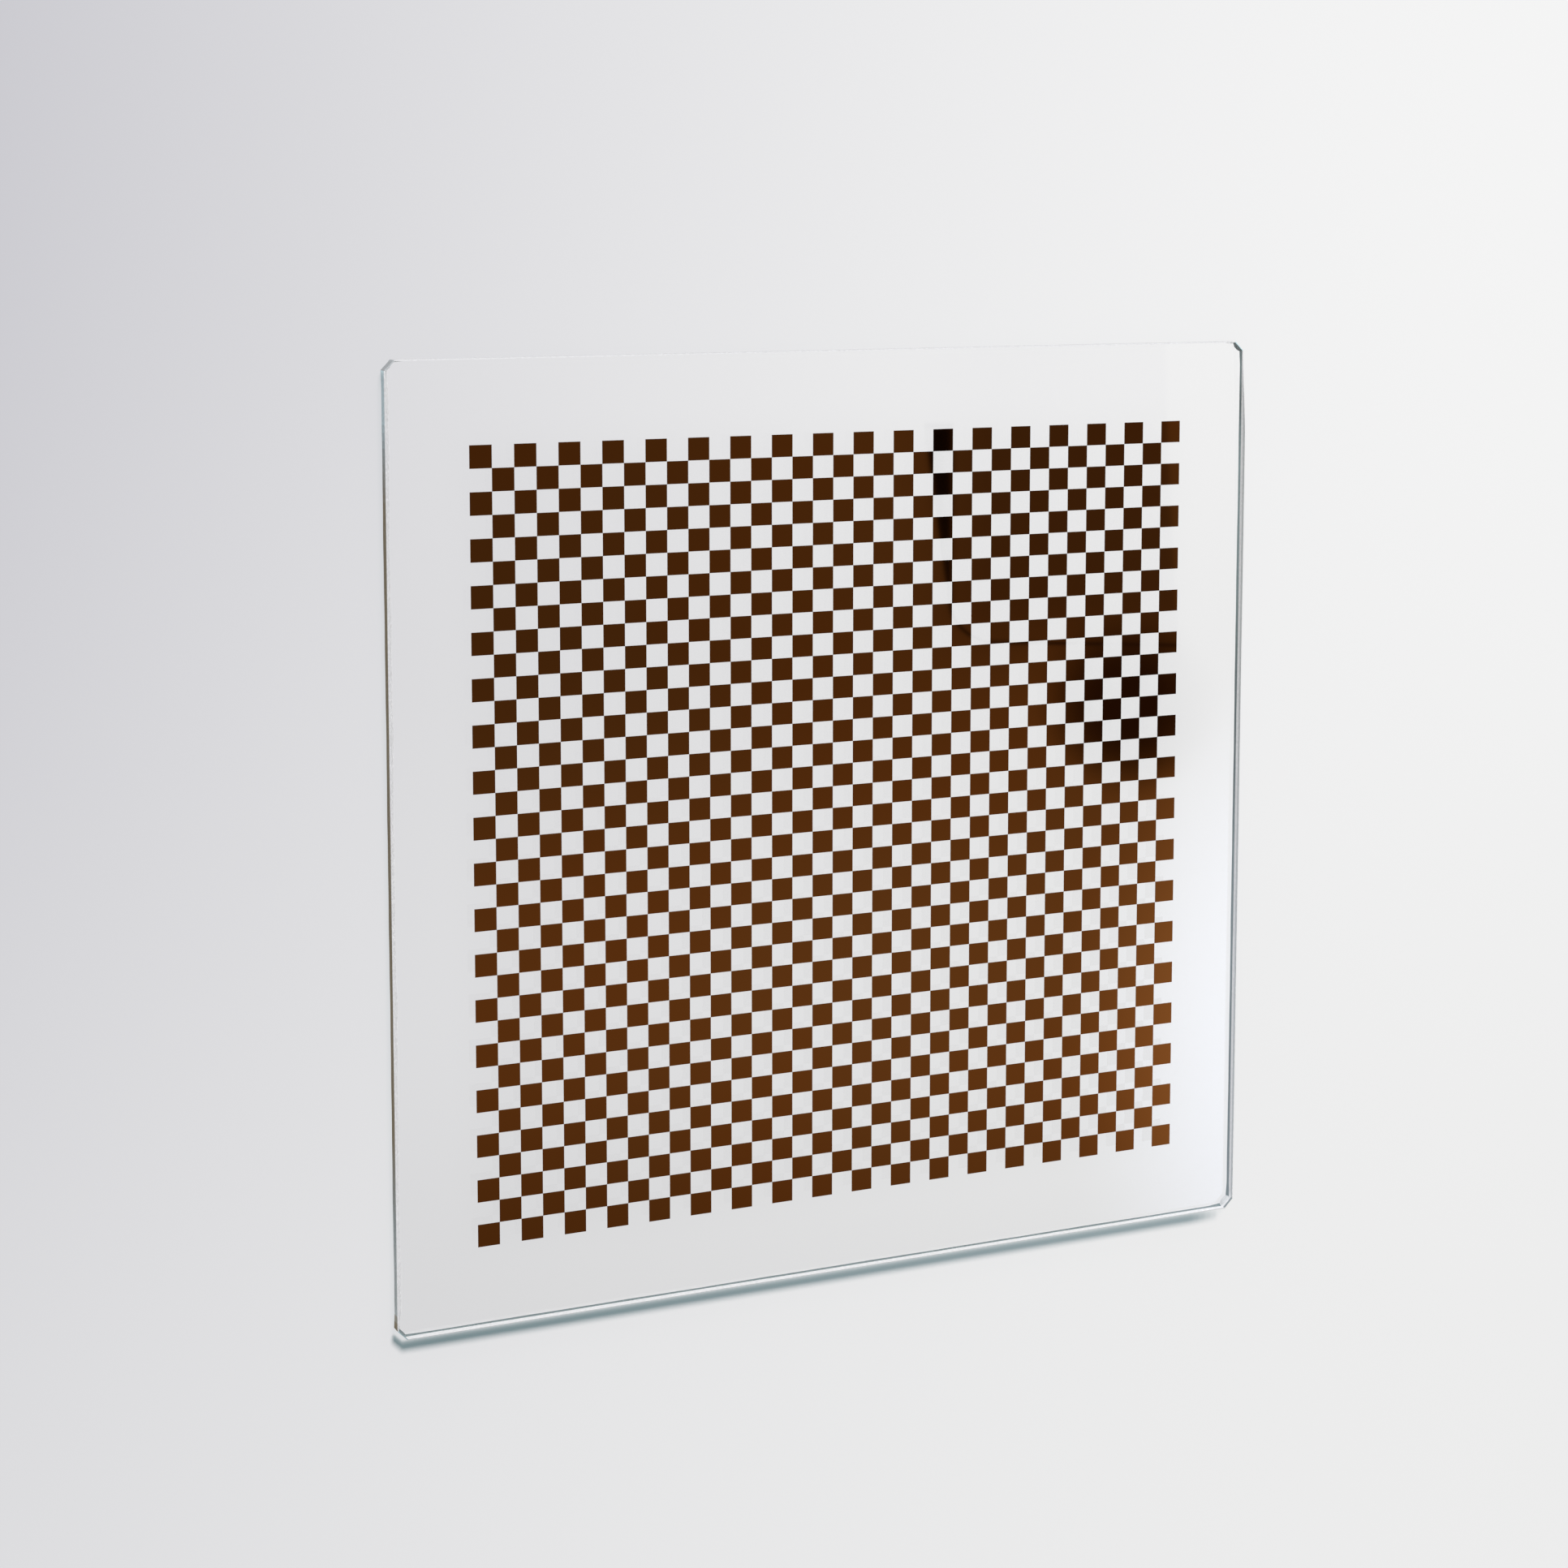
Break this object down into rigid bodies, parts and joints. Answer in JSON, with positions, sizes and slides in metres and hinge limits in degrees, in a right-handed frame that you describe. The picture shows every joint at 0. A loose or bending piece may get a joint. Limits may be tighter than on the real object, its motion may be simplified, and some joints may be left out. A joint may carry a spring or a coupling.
{
  "type": "checkerboard calibration target",
  "caption": "Clear square glass plate with clipped corners and ground bevels, coated on one face with a checkerboard of dark brown mirror-like chrome squares.",
  "frame": {"origin": "centre of the clear back face, which the plate lies on", "axes": "+Z out of the coated face, +X along a row of squares, +Y along a column of squares"},
  "size_m": [0.127, 0.127, 0.0023],
  "materials": {
    "glass": "polished faces with ground edges, faint teal tint in the edges",
    "chrome_film": "smooth brown low-reflection chrome, mirror-like"
  },
  "bodies": {
    "root": {"glass_plate": "glass", "chrome_squares": "chrome_film"}
  },
  "joints": []
}
